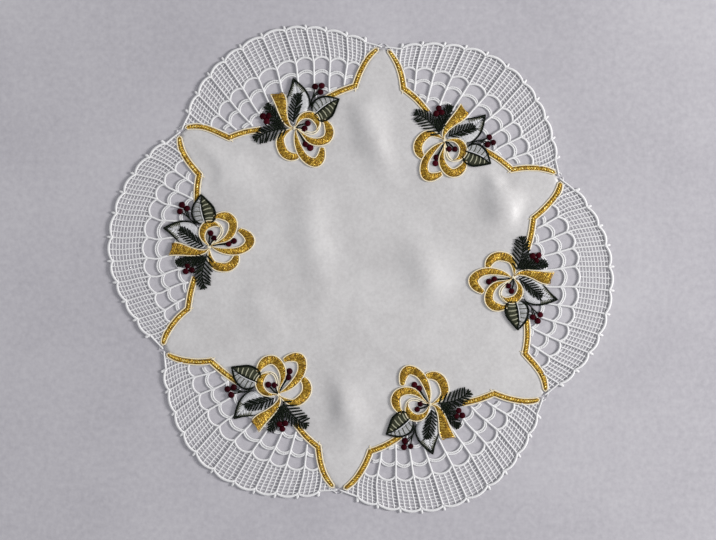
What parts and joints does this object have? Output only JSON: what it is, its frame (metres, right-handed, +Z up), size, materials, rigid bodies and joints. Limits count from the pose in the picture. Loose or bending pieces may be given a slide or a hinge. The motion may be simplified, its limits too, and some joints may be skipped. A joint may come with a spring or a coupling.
{
  "type": "round lace tablecloth",
  "caption": "Round lace table cloth: a star of pale satin with embroidered sprays, set in a ring of scalloped openwork fans, lying flat.",
  "frame": {"origin": "centre of the bounding box on the surface the cloth lies on", "axes": "+Z up, square to the surface; +X to the right and +Y to the top of the cloth as seen from above"},
  "size_m": [0.345, 0.3317, 0.003],
  "materials": {
    "satin": "satin weave, soft sheen",
    "lace_thread": "matte stitched thread",
    "gold_thread": "metallic stitched thread",
    "spray_stitching": "satin stitch in gold, green, red and cream"
  },
  "bodies": {
    "root": {"centre_cloth": "satin", "lace_fan_1": "lace_thread", "lace_fan_2": "lace_thread", "lace_fan_3": "lace_thread", "lace_fan_4": "lace_thread", "lace_fan_5": "lace_thread", "lace_fan_6": "lace_thread", "gold_border_1_left": "gold_thread", "gold_border_1_right": "gold_thread", "gold_border_2_left": "gold_thread", "gold_border_2_right": "gold_thread", "gold_border_3_left": "gold_thread", "gold_border_3_right": "gold_thread", "gold_border_4_left": "gold_thread", "gold_border_4_right": "gold_thread", "gold_border_5_left": "gold_thread", "gold_border_5_right": "gold_thread", "gold_border_6_left": "gold_thread", "gold_border_6_right": "gold_thread", "spray_1": "spray_stitching", "spray_2": "spray_stitching", "spray_3": "spray_stitching", "spray_4": "spray_stitching", "spray_5": "spray_stitching", "spray_6": "spray_stitching"}
  },
  "joints": []
}
